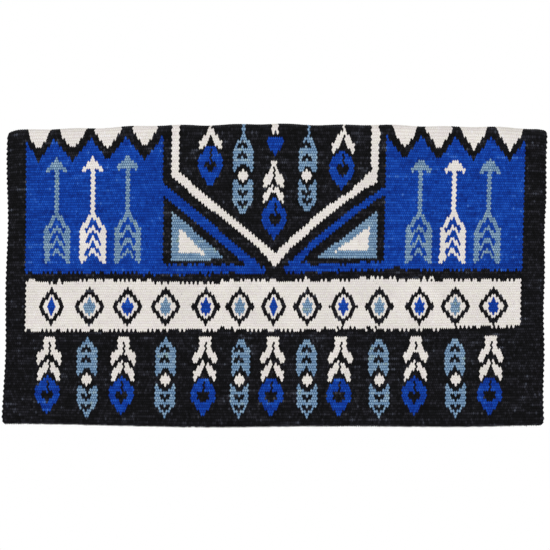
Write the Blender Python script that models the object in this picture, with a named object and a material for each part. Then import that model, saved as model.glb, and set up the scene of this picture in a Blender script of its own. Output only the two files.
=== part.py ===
"""A woven western saddle blanket, folded over a rail and hanging down on both sides.

The blanket is one thick tapestry cloth. Each colour field is a run of weft of its own, through the
full thickness of the cloth, so each is modelled as an inlaid plate. The cloth over the rail is made
of mitred strips. Each side hinges on the outer edge of the middle mitre, half way round its quarter of
the bend, so that it can be lifted until it lies flat.

Frame: the origin is under the middle of the fold, where the rail bears. Z is up, X runs along the
fold, and the near side faces -Y. Left is -X and right is +X on both sides.
"""

import math

import bmesh
import bpy

MM = 0.001

# The cloth and the fold
BLANKET_WIDTH = 863.6 * MM  # along the horse's spine
BLANKET_LENGTH = 965.2 * MM  # over the horse's back, hem to hem
CLOTH_THICKNESS = 8.0 * MM
RAIL_RADIUS = 6.0 * MM
WEAVE_GAP = 0.3 * MM  # between neighbouring colour fields
WELD_DISTANCE = 0.003 * MM  # joins an outline's faces to its rim
HEM_BOW = 5.0 * MM  # how much higher the hem is at its ends than in the middle
CORNER_RADIUS = 8.0 * MM

# Bands, from the hem upwards
FEATHER_BAND_HEIGHT = 152.8 * MM
DIAMOND_BAND_HEIGHT = 78.8 * MM
RULE_LINE_HEIGHT = 14.3 * MM

# The chevron field in the middle
CENTRE_HALF_WIDTH = 152.7 * MM
CHEVRON_BAR_WIDTH = 14.4 * MM
CHEVRON_OUTLINE_WIDTH = 12.8 * MM
CHEVRON_SHOULDER_DEPTH = 75.0 * MM
CHEVRON_DROP = 17.0 * MM  # height of the sloping arm, measured upright
CHEVRON_FOOT_CLEARANCE = 7.0 * MM

# The royal fields
BORDER_WIDTH = 32.4 * MM
PEAK_CLEARANCE = 10.5 * MM  # from the fold strips down to the blue peaks
ZIGZAG_HEIGHT = 33.0 * MM
DIAGONAL_OUTLINE_DROP = 19.0 * MM
DIAGONAL_BAND_DROP = 15.5 * MM
FOOT_BAND_HEIGHT = 11.5 * MM
ARROW_HEAD_CLEARANCE = 31.0 * MM  # from the blue peaks down to the arrow's point
ARROW_FOOT_CLEARANCE = 8.0 * MM

# Counts
TEETH_PER_FIELD = 4
ARROWS_PER_FIELD = 3
BENDS_PER_SIDE = 3  # mitres between the ridge and a hanging side, an odd number
CORNER_STEPS = 6
HEM_STEPS = 12

# Half an arrow, point up: half width as a share of the tooth pitch, depth as a share of its length
ARROW_SHARES = (
    (0.0, 0.0),
    (0.28, 0.13),
    (0.07, 0.13),
    (0.07, 0.52),
    (0.40, 0.66),
    (0.40, 1.0),
)
ARROW_NOTCH_SHARE = 0.845
DIAMOND_WIDTH_SHARE = 0.74  # of the mean of the two steps beside it
DIAMOND_HEIGHT_SHARE = 0.775  # of the band's height

# The steps from the cream band's left end over its diamonds to its right end, as shares of its
# length: a hand weaver's spacing, closest in the middle
DIAMOND_STEP_SHARES = (
    0.052, 0.077, 0.076, 0.079, 0.079, 0.073, 0.066,
    0.067, 0.070, 0.074, 0.079, 0.074, 0.079, 0.055,
)

# Places worked out from the sizes above
MID_RADIUS = RAIL_RADIUS + CLOTH_THICKNESS / 2
OUTER_RADIUS = RAIL_RADIUS + CLOTH_THICKNESS
HALF_WIDTH = BLANKET_WIDTH / 2
HINGE_BEND = (BENDS_PER_SIDE + 1) // 2  # the mitre that opens, counted from the ridge
STRIP_ANGLE = math.radians(90) / BENDS_PER_SIDE
HALF_STRIP_ANGLE = STRIP_ANGLE / 2
SEAM_GAP = WEAVE_GAP / 2
DROP_TOP = OUTER_RADIUS * math.tan(HALF_STRIP_ANGLE) - RAIL_RADIUS
QUARTER_BEND = MID_RADIUS * STRIP_ANGLE * BENDS_PER_SIDE  # along the cloth's middle
FOLD_LENGTH = QUARTER_BEND - OUTER_RADIUS * math.tan(HALF_STRIP_ANGLE)
DROP_HEIGHT = BLANKET_LENGTH / 2 - FOLD_LENGTH
FEATHER_BAND_TOP = DROP_HEIGHT - FEATHER_BAND_HEIGHT
DIAMOND_BAND_TOP = FEATHER_BAND_TOP - DIAMOND_BAND_HEIGHT
FIELD_FOOT = DIAMOND_BAND_TOP - RULE_LINE_HEIGHT
BAND_HALF_WIDTH = HALF_WIDTH - BORDER_WIDTH
CHEVRON_HALF_WIDTH = CENTRE_HALF_WIDTH + CHEVRON_BAR_WIDTH
FIELD_INNER_X = CHEVRON_HALF_WIDTH + CHEVRON_OUTLINE_WIDTH
TOOTH_PITCH = (BAND_HALF_WIDTH - FIELD_INNER_X) / TEETH_PER_FIELD
CHEVRON_TIP = FIELD_FOOT - CHEVRON_FOOT_CLEARANCE
CHEVRON_SLOPE = (CHEVRON_TIP - CHEVRON_SHOULDER_DEPTH) / CHEVRON_HALF_WIDTH
DIAMONDS_PER_BAND = len(DIAMOND_STEP_SHARES) - 1

# Yarn colours as sRGB values, and how rough the wool is
YARNS = {
    "wool_black": (0.095, 0.095, 0.105),
    "wool_royal_blue": (0.055, 0.255, 0.690),
    "wool_cream": (0.910, 0.880, 0.850),
    "wool_light_blue": (0.520, 0.655, 0.745),
}
WOOL_ROUGHNESS = 0.92


def linear(value):
    """An sRGB value between 0 and 1 as the linear value that a shader takes."""
    return value / 12.92 if value <= 0.04045 else ((value + 0.055) / 1.055) ** 2.4


def clear_scene():
    """Removes what a new scene starts with."""
    for ob in list(bpy.data.objects):
        bpy.data.objects.remove(ob, do_unlink=True)


def new_collection(name):
    """A collection linked under the scene's own."""
    collection = bpy.data.collections.new(name)
    bpy.context.scene.collection.children.link(collection)
    return collection


def yarn_material(name):
    """A matt Principled material in one yarn's colour."""
    material = bpy.data.materials.new(name)
    material.use_nodes = True
    colour = tuple(linear(v) for v in YARNS[name]) + (1.0,)
    shader = material.node_tree.nodes["Principled BSDF"]
    shader.inputs["Base Color"].default_value = colour
    shader.inputs["Roughness"].default_value = WOOL_ROUGHNESS
    shader.inputs["Metallic"].default_value = 0.0
    material.diffuse_color = colour
    return material


def turns_left(outline):
    """Whether a closed outline runs anticlockwise."""
    pairs = zip(outline, outline[1:] + outline[:1])
    return sum(ax * by - bx * ay for (ax, ay), (bx, by) in pairs) > 0


def edges_moved(outline, distances):
    """The closed outline with each edge moved outwards by its own distance.

    Edge i runs from point i to the next one. Each new corner is where its two moved edges meet.
    """
    side = 1 if turns_left(outline) else -1
    lines = []
    for (ax, ay), (bx, by), by_how_much in zip(outline, outline[1:] + outline[:1], distances):
        length = math.hypot(bx - ax, by - ay)
        normal = (side * (by - ay) / length, side * (ax - bx) / length)
        lines.append((normal, normal[0] * ax + normal[1] * ay + by_how_much))
    corners = []
    for (m, p), (n, q) in zip(lines[-1:] + lines[:-1], lines):
        cross = m[0] * n[1] - m[1] * n[0]
        corners.append(((p * n[1] - q * m[1]) / cross, (q * m[0] - p * n[0]) / cross))
    return corners


def grown(outline, distance):
    """The closed outline with every edge moved outwards by the same distance."""
    return edges_moved(outline, [distance] * len(outline))


def extruded(name, loops, half_thickness, material, collection):
    """A solid made from a flat outline with holes, extruded to both sides of its plane."""
    curve = bpy.data.curves.new(name + "_outline", "CURVE")
    curve.dimensions = "2D"
    curve.fill_mode = "BOTH"
    curve.extrude = half_thickness
    for loop in loops:
        spline = curve.splines.new("POLY")
        spline.points.add(len(loop) - 1)
        for point, (x, y) in zip(spline.points, loop):
            point.co = (x, y, 0.0, 1.0)
        spline.use_cyclic_u = True
    drawn = bpy.data.objects.new(name + "_outline", curve)
    collection.objects.link(drawn)
    mesh = bpy.data.meshes.new_from_object(drawn.evaluated_get(bpy.context.evaluated_depsgraph_get()))
    bpy.data.objects.remove(drawn)
    bpy.data.curves.remove(curve)

    bm = bmesh.new()
    bm.from_mesh(mesh)
    bmesh.ops.remove_doubles(bm, verts=bm.verts, dist=WELD_DISTANCE)
    bmesh.ops.recalc_face_normals(bm, faces=bm.faces)
    bm.to_mesh(mesh)
    bm.free()
    mesh.name = name
    mesh.materials.append(material)
    solid = bpy.data.objects.new(name, mesh)
    collection.objects.link(solid)
    return solid


def hang_on(ob, axis):
    """Parents an object to a hinge axis without moving it."""
    ob.parent = axis
    ob.matrix_parent_inverse = axis.matrix_world.inverted()


def hinge_axis(name, y, z, collection):
    """An empty on a hinge line that runs along X."""
    axis = bpy.data.objects.new(name, None)
    axis.empty_display_type = "SINGLE_ARROW"
    axis.empty_display_size = CLOTH_THICKNESS
    axis.location = (0.0, y, z)
    collection.objects.link(axis)
    bpy.context.view_layer.update()
    return axis


def on_fold(radius, angle):
    """A corner of the mitred fold: out from the rail's centre, at an angle from the top."""
    reach = radius / math.cos(HALF_STRIP_ANGLE)
    return reach * math.sin(angle), reach * math.cos(angle) - RAIL_RADIUS


def strip_section(index):
    """The cross-section of a fold strip, as distance out from the ridge and height.

    Strip 0 is the ridge, and the others follow one by one down to the hanging side. The last one
    ends level, where the hanging side begins.
    """
    top, foot = (index - 0.5) * STRIP_ANGLE, (index + 0.5) * STRIP_ANGLE
    inner_top, outer_top = on_fold(RAIL_RADIUS, top), on_fold(OUTER_RADIUS, top)
    inner_foot, outer_foot = on_fold(RAIL_RADIUS, foot), on_fold(OUTER_RADIUS, foot)
    if index == BENDS_PER_SIDE - 1:
        along = (inner_top[1] - DROP_TOP) / (inner_top[1] - inner_foot[1])
        inner_foot = (inner_top[0] + along * (inner_foot[0] - inner_top[0]), DROP_TOP)
    section = [inner_top, outer_top, outer_foot, inner_foot]
    return edges_moved(section, [-SEAM_GAP, 0.0, -SEAM_GAP, 0.0])


def fold_strip(name, index, side, material, collection):
    """One strip of the cloth over the rail, as wide as the blanket."""
    section = [(side * out, z) for out, z in strip_section(index)]
    strip = extruded(name, [section], HALF_WIDTH, material, collection)
    strip.rotation_euler = (math.radians(90), 0.0, math.radians(90))
    return strip


def mirrored(outline):
    """An outline turned over left to right."""
    return [(-x, depth) for x, depth in outline]


def arc(centre, radius, start, end, steps):
    """Points along a round corner."""
    angles = [start + (end - start) * i / steps for i in range(steps + 1)]
    return [(centre[0] + radius * math.cos(a), centre[1] + radius * math.sin(a)) for a in angles]


def half_hem():
    """The lower edge from the middle to the right side, bowed, with its round corner."""
    flat = HALF_WIDTH - CORNER_RADIUS
    hem = []
    for i in range(HEM_STEPS):
        x = flat * i / HEM_STEPS
        hem.append((x, DROP_HEIGHT - HEM_BOW * (x / HALF_WIDTH) ** 2))
    centre = (flat, DROP_HEIGHT - HEM_BOW - CORNER_RADIUS)
    return hem + arc(centre, CORNER_RADIUS, math.radians(90), 0.0, CORNER_STEPS)


def chevron_outer():
    """The chevron's outer outline, closed over the fold so that its sides run past the top."""
    right = [(CHEVRON_HALF_WIDTH, -CLOTH_THICKNESS), (CHEVRON_HALF_WIDTH, CHEVRON_SHOULDER_DEPTH)]
    return right + [(0.0, CHEVRON_TIP)] + mirrored(right[::-1])


def chevron_inner():
    """The outline of the field inside the chevron, closed over the fold in the same way."""
    tip = CHEVRON_TIP - CHEVRON_DROP
    shoulder = tip - CHEVRON_SLOPE * CENTRE_HALF_WIDTH
    right = [(CENTRE_HALF_WIDTH, -CLOTH_THICKNESS), (CENTRE_HALF_WIDTH, shoulder)]
    return right + [(0.0, tip)] + mirrored(right[::-1])


def cut_at_fold(outline):
    """The same outline, with its two points over the fold brought down to the drop's top edge."""
    first, last = outline[0], outline[-1]
    return [(first[0], SEAM_GAP)] + outline[1:-1] + [(last[0], SEAM_GAP)]


def ground_loops(holes):
    """The black ground of a side: its outer outline, which runs round the chevron, and its holes."""
    hem = half_hem()
    left_hem = mirrored(hem[:0:-1])
    notch = cut_at_fold(grown(chevron_outer(), WEAVE_GAP))
    top = [(-HALF_WIDTH, SEAM_GAP)] + notch[::-1] + [(HALF_WIDTH, SEAM_GAP)]
    return [top + hem[::-1] + left_hem[::-1]] + [grown(hole, WEAVE_GAP) for hole in holes]


def chevron_loop():
    """The cream chevron with its two upright bars."""
    return cut_at_fold(chevron_outer()) + cut_at_fold(chevron_inner())[::-1]


def below_chevron(x, drop):
    """The depth at x of a line that runs below the chevron's sloping arm, at an upright distance."""
    return CHEVRON_TIP - CHEVRON_SLOPE * abs(x) + drop


def zigzag(outer_x, inner_x):
    """The royal field's toothed top edge, from its outer corner to its inner one."""
    steps = 2 * TEETH_PER_FIELD
    points = []
    for i in range(steps + 1):
        depth = PEAK_CLEARANCE + (ZIGZAG_HEIGHT if i % 2 else 0.0)
        points.append((outer_x + (inner_x - outer_x) * i / steps, depth))
    return points


def royal_field():
    """The right royal field: the panel, the diagonal band beside the chevron and the foot band."""
    point_x = (DIAGONAL_OUTLINE_DROP - CHEVRON_FOOT_CLEARANCE) / CHEVRON_SLOPE
    diagonal = (FIELD_INNER_X, below_chevron(FIELD_INNER_X, DIAGONAL_OUTLINE_DROP))
    foot = [(point_x, FIELD_FOOT), (BAND_HALF_WIDTH, FIELD_FOOT)]
    return zigzag(BAND_HALF_WIDTH, FIELD_INNER_X) + [diagonal] + foot


def triangle():
    """The right triangle between the panel, the diagonal band and the foot band."""
    drop = DIAGONAL_OUTLINE_DROP + DIAGONAL_BAND_DROP
    base = FIELD_FOOT - FOOT_BAND_HEIGHT
    point_x = (CHEVRON_TIP + drop - base) / CHEVRON_SLOPE
    return [(FIELD_INNER_X, below_chevron(FIELD_INNER_X, drop)), (FIELD_INNER_X, base), (point_x, base)]


def arrow(index):
    """An arrow of the right royal field, counted from the outside."""
    x = BAND_HALF_WIDTH - index * TOOTH_PITCH
    point = PEAK_CLEARANCE + ARROW_HEAD_CLEARANCE
    length = FIELD_FOOT - ARROW_FOOT_CLEARANCE - point
    half = [(w * TOOTH_PITCH, point + d * length) for w, d in ARROW_SHARES]
    notch = (0.0, point + ARROW_NOTCH_SHARE * length)
    outline = half + [notch] + mirrored(half[:0:-1])
    return [(x + out, depth) for out, depth in outline]


def diamond(index):
    """A diamond of the cream band, counted from the left."""
    x = BAND_HALF_WIDTH * (2 * sum(DIAMOND_STEP_SHARES[: index + 1]) - 1)
    pitch = BAND_HALF_WIDTH * (DIAMOND_STEP_SHARES[index] + DIAMOND_STEP_SHARES[index + 1])
    depth = DIAMOND_BAND_TOP + DIAMOND_BAND_HEIGHT / 2
    half_width = pitch * DIAMOND_WIDTH_SHARE / 2
    half_height = DIAMOND_BAND_HEIGHT * DIAMOND_HEIGHT_SHARE / 2
    upright = [(x, depth - half_height), (x, depth + half_height)]
    return [upright[0], (x + half_width, depth), upright[1], (x - half_width, depth)]


def diamond_band():
    """The cream band between the royal fields and the feather band."""
    right = [(BAND_HALF_WIDTH, DIAMOND_BAND_TOP), (BAND_HALF_WIDTH, FEATHER_BAND_TOP)]
    return right + mirrored(right[::-1])


def hanging_plate(name, loops, side, axis, material, collection):
    """A colour field of a hanging side, drawn across the cloth and down from the fold strips."""
    flat = [[(x, -depth) for x, depth in loop] for loop in loops]
    plate = extruded(name, flat, CLOTH_THICKNESS / 2, material, collection)
    plate.rotation_euler = (math.radians(90), 0.0, 0.0)
    plate.location = (0.0, side * MID_RADIUS, DROP_TOP)
    hang_on(plate, axis)
    return plate


def hanging_side(prefix, side, axis, wool, collection):
    """One hanging side of the blanket, as inlaid colour fields."""

    def plate(name, loops, colour):
        hanging_plate(f"{prefix}_{name}", loops, side, axis, wool[colour], collection)

    halves = {"left": mirrored, "right": list}
    fields = {half: turn(royal_field()) for half, turn in halves.items()}
    for half, turn in halves.items():
        arrows = [turn(arrow(i + 1)) for i in range(ARROWS_PER_FIELD)]
        inlays = arrows + [turn(triangle())]
        holes = [grown(inlay, WEAVE_GAP) for inlay in inlays]
        plate(f"{half}_royal_field", [fields[half], *holes], "wool_royal_blue")
        for i, outline in enumerate(arrows):
            colour = "wool_cream" if i == ARROWS_PER_FIELD // 2 else "wool_light_blue"
            plate(f"{half}_arrow_{i + 1}", [outline], colour)
        plate(f"{half}_triangle", [inlays[-1]], "wool_light_blue")

    diamonds = [diamond(i) for i in range(DIAMONDS_PER_BAND)]
    for i, outline in enumerate(diamonds):
        plate(f"diamond_{i + 1:02d}", [outline], "wool_light_blue" if i % 2 else "wool_royal_blue")
    plate("diamond_band", [diamond_band()] + [grown(d, WEAVE_GAP) for d in diamonds], "wool_cream")
    plate("chevron", [chevron_loop()], "wool_cream")
    plate("centre_field", [cut_at_fold(grown(chevron_inner(), -WEAVE_GAP))], "wool_black")
    plate("black_ground", ground_loops([*fields.values(), diamond_band()]), "wool_black")


def side_of_blanket(prefix, side, wool, collection):
    """One side: its fold strips above the hinge, then its hinge and all that hangs on it."""
    out, z = on_fold(OUTER_RADIUS, (HINGE_BEND - 0.5) * STRIP_ANGLE)
    axis = hinge_axis(f"{prefix}_hinge", side * out, z, collection)
    for i in range(1, BENDS_PER_SIDE):
        strip = fold_strip(f"{prefix}_fold_strip_{i}", i, side, wool["wool_black"], collection)
        if i >= HINGE_BEND:
            hang_on(strip, axis)
    hanging_side(prefix, side, axis, wool, collection)


def main():
    """Builds the blanket."""
    clear_scene()
    collection = new_collection("saddle_blanket")
    wool = {name: yarn_material(name) for name in YARNS}
    fold_strip("ridge_strip", 0, 1, wool["wool_black"], collection)
    side_of_blanket("near", -1, wool, collection)
    side_of_blanket("far", 1, wool, collection)


main()
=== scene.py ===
"""A woven western saddle blanket, folded over a rail and hanging down on both sides.

The blanket is one thick wool tapestry. Its warp lies hidden inside the ribs, and the weft that
covers it shows as small pointed floats, one on every rib, laid like bricks. Each colour field is a
run of weft of its own through the full thickness, so each piece is built from that colour's floats.

Cloth places are in millimetres: x runs along the fold, and v runs down the cloth from the ridge,
with a plus sign on the near side and a minus sign on the far side. A depth is v without its sign.
"""

import logging
import math
from dataclasses import dataclass, replace
from enum import Enum

import bpy
import numpy as np
from bpy.types import Material, Mesh, Node, NodeSocket, NodeTree, Object
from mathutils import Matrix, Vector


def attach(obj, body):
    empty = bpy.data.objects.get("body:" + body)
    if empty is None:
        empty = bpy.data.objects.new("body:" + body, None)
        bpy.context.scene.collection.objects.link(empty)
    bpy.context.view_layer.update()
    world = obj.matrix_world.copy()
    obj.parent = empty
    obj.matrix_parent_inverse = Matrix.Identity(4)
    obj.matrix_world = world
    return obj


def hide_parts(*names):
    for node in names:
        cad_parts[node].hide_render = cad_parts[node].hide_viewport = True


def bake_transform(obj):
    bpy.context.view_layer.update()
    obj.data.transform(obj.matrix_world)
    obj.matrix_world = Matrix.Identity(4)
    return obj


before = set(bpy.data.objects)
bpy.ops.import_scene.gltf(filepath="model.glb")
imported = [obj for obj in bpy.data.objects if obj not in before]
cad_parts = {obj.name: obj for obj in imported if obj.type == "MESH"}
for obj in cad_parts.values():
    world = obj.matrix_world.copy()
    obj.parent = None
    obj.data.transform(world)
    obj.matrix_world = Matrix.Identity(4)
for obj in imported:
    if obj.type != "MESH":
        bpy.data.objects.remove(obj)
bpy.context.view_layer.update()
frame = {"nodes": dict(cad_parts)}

MM = 0.001

log = logging.getLogger("saddle_blanket")

Array = np.ndarray
Place = tuple[float, float]
Outline = tuple[Place, ...]
# A value for the left half of the cloth and one for the right
Pair = tuple[float, float]
# The places of a colour ramp's stops, from 0 to 1, each with its hex colour
Stops = tuple[tuple[float, str], ...]
# Of each wave its share, how far a radian of it is along and down the cloth, and its start
Waves = tuple[tuple[float, float, float, float], ...]

# The whole cloth laid flat: 34 by 38 inches, its ribs, and the floats on one rib
WIDTH, LENGTH = 863.6, 965.2
RIBS, FLOATS = 230, 254
# From the middle to a selvedge, and from the ridge to a hem
HALF_WIDTH, DROP = WIDTH / 2, LENGTH / 2
# From the middle of one rib to the next
RIB_PITCH = LENGTH / RIBS
# Half the width of one float, which is also how far the floats on one rib are set off from the next
HALF_FLOAT = WIDTH / FLOATS / 2


class Yarn(Enum):
    """The four wools, by the names that their materials begin with."""

    BLACK = "wool_black"
    ROYAL = "wool_royal_blue"
    CREAM = "wool_cream"
    LIGHT_BLUE = "wool_light_blue"


class Side(Enum):
    """The two hanging sides, with the sign of v on each."""

    NEAR = 1
    FAR = -1

    @property
    def prefix(self) -> str:
        """What the names of this side's pieces begin with."""
        return self.name.lower()

    @property
    def body(self) -> str:
        """The CAD body that this side rides on."""
        return f"{self.prefix}_side"


def linear(colour: str) -> tuple[float, float, float, float]:
    """Turns an sRGB hex colour to the linear values that a shader takes.

    Args:
        colour: six hex digits.

    Returns:
        Red, green, blue and an alpha of 1.
    """
    values = [int(colour[i : i + 2], 16) / 255 for i in (0, 2, 4)]
    red, green, blue = (v / 12.92 if v <= 0.04045 else ((v + 0.055) / 1.055) ** 2.4 for v in values)
    return red, green, blue, 1.0


def set_inputs(tree: NodeTree, node: Node, inputs: dict) -> None:
    """Sets inputs of a shader node.

    Args:
        tree: the node tree that it is in.
        node: the node.
        inputs: by socket name or number, a value or the output socket to link from.
    """
    for name, value in inputs.items():
        if isinstance(value, NodeSocket):
            tree.links.new(value, node.inputs[name])
        else:
            node.inputs[name].default_value = value


def add_node(tree: NodeTree, kind: str, inputs: dict | None = None, **settings: object) -> Node:
    """Adds a shader node.

    Args:
        tree: the material's or the world's node tree.
        kind: the node's type.
        inputs: as for set_inputs.
        settings: values of the node's own properties.

    Returns:
        The new node.
    """
    node = tree.nodes.new(kind)
    for name, value in settings.items():
        setattr(node, name, value)
    set_inputs(tree, node, inputs or {})
    return node


def add_noise(tree: NodeTree, place: NodeSocket, scale: float, detail: float) -> NodeSocket:
    """Adds a noise texture, as a value round 0.5 for each place."""
    inputs = {"Vector": place, "Scale": scale, "Detail": detail}
    return add_node(tree, "ShaderNodeTexNoise", inputs).outputs["Fac"]


def add_ramp(tree: NodeTree, value: NodeSocket, stops: Stops) -> NodeSocket:
    """Adds a colour ramp.

    Args:
        tree: the material's node tree.
        value: what the ramp is read at.
        stops: its stops.

    Returns:
        The ramp's colour output.
    """
    node = add_node(tree, "ShaderNodeValToRGB", {"Fac": value})
    elements = node.color_ramp.elements
    while len(elements) < len(stops):
        elements.new(0.5)
    for element, (place, colour) in zip(elements, stops):
        element.position = place
        element.color = linear(colour)
    return node.outputs["Color"]


@dataclass(frozen=True)
class WoolFinish:
    """Two-ply sheep's wool, dyed in the skein and woven weft-faced: matt, fuzzy and never even.

    The gaps are painted shade, from the points of the floats to their crests, and the streaks are
    the shade between its fibres, in hex.
    """

    tints: Stops
    gaps: Stops
    fuzz: float
    streaks: str

    FIBRE_WIDTH = 0.5
    FIBRE_LENGTH = 4.0
    FIBRE_RELIEF = 0.2
    DYE_PATCH = 60.0
    DYE_SHADE = "F2F2F2"

    def material(self, yarn: Yarn) -> Material:
        """Makes the wool.

        Args:
            yarn: which of the four it is, for its name.

        Returns:
            The material.
        """
        material = bpy.data.materials.new(f"{yarn.value}_weft_faced_wool")
        material.use_nodes = True
        tree = material.node_tree

        # A float's tint: partly its own, from the ply's twist and the dye, which makes the wool
        # look heathered, and partly painted light, paler where its rib swells
        tone = add_node(tree, "ShaderNodeAttribute", attribute_name="yarn_tone_and_rib_light").outputs["Fac"]
        colour = add_ramp(tree, tone, self.tints)

        # The gaps between floats lie in shade: what draws the ribs and the brick pattern
        height = add_node(tree, "ShaderNodeAttribute", attribute_name="yarn_height").outputs["Fac"]

        # Fibres along the float, and soft patches a few ribs across where a new skein was begun
        place = add_node(tree, "ShaderNodeTexCoord").outputs["Object"]
        across, along = 1 / (self.FIBRE_WIDTH * MM), 1 / (self.FIBRE_LENGTH * MM)
        combing = {"Vector": place, "Scale": (across, across, along)}
        combed = add_node(tree, "ShaderNodeMapping", combing).outputs["Vector"]
        fibres = add_noise(tree, combed, scale=1.0, detail=2.0)
        patches = add_noise(tree, place, scale=1 / (self.DYE_PATCH * MM), detail=3.0)

        for value, stops in (
            (height, self.gaps),
            (fibres, ((0.3, self.streaks), (0.7, "FFFFFF"))),
            (patches, ((0.3, self.DYE_SHADE), (0.7, "FFFFFF"))),
        ):
            inputs = {0: 1.0, 6: colour, 7: add_ramp(tree, value, stops)}
            settings = {"data_type": "RGBA", "blend_type": "MULTIPLY"}
            colour = add_node(tree, "ShaderNodeMix", inputs, **settings).outputs[2]

        relief = {"Height": fibres, "Strength": 0.5, "Distance": self.FIBRE_RELIEF * MM}
        looks = {
            "Base Color": colour,
            "Normal": add_node(tree, "ShaderNodeBump", relief).outputs["Normal"],
            "Roughness": 0.95,
            "Specular IOR Level": 0.1,
            "Sheen Weight": self.fuzz,
            "Sheen Roughness": 0.6,
        }
        set_inputs(tree, tree.nodes["Principled BSDF"], looks)
        return material


# Each wool's tints are read at a float's tone, painted paler where its rib swells, as light; its
# gaps are painted shade at the floats' points and sides
FINISHES = {
    # Natural dark brown-black wool: near black, with grey floats here and there, and painted paler,
    # as light, where a rib stands up
    Yarn.BLACK: WoolFinish(
        tints=((0.15, "09090B"), (0.5, "17171B"), (0.8, "303038"), (1.0, "505460")),
        gaps=((0.0, "6A6A6A"), (0.9, "FFFFFF")),
        fuzz=0.02,
        streaks="B8B8B8",
    ),
    # A deep, clear royal blue dye: the fullest colour, with thin paler floats where it took less
    Yarn.ROYAL: WoolFinish(
        tints=((0.0, "042E8C"), (0.5, "0D49B6"), (0.85, "1D5ECE"), (1.0, "4078DA")),
        gaps=((0.0, "9CA0B4"), (0.9, "FFFFFF")),
        fuzz=0.04,
        streaks="DCDCE4",
    ),
    # Undyed white wool: a warm off-white, faintly pink or yellow from float to float
    Yarn.CREAM: WoolFinish(
        tints=((0.0, "E8E2E1"), (0.35, "EFEBEA"), (0.65, "F0EEE7"), (1.0, "F6F4F5")),
        gaps=((0.0, "EDE8E4"), (0.9, "FFFFFF")),
        fuzz=0.05,
        streaks="F6F4F2",
    ),
    # Grey wool dyed a light blue: heathered, with grey and greenish floats, and its gaps painted
    # dark as shade
    Yarn.LIGHT_BLUE: WoolFinish(
        tints=(
            (0.0, "789BBD"), (0.35, "8AAECF"), (0.65, "9FC0DB"), (0.85, "B5D1E2"), (1.0, "A6C2BE"),
        ),
        gaps=((0.0, "6A7B90"), (1.0, "FFFFFF")),
        fuzz=0.05,
        streaks="D8DCE0",
    ),
}


def by_half(pair: Pair, x: Array) -> Array:
    """The value of a pair that holds at each place along the fold."""
    return np.where(x < 0, *pair)


def add_up(waves: Waves, x: Array, v: Array) -> Array:
    """Adds up waves at places of the cloth."""
    return sum(share * np.sin(x / along + v / down + start) for share, along, down, start in waves)


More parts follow.
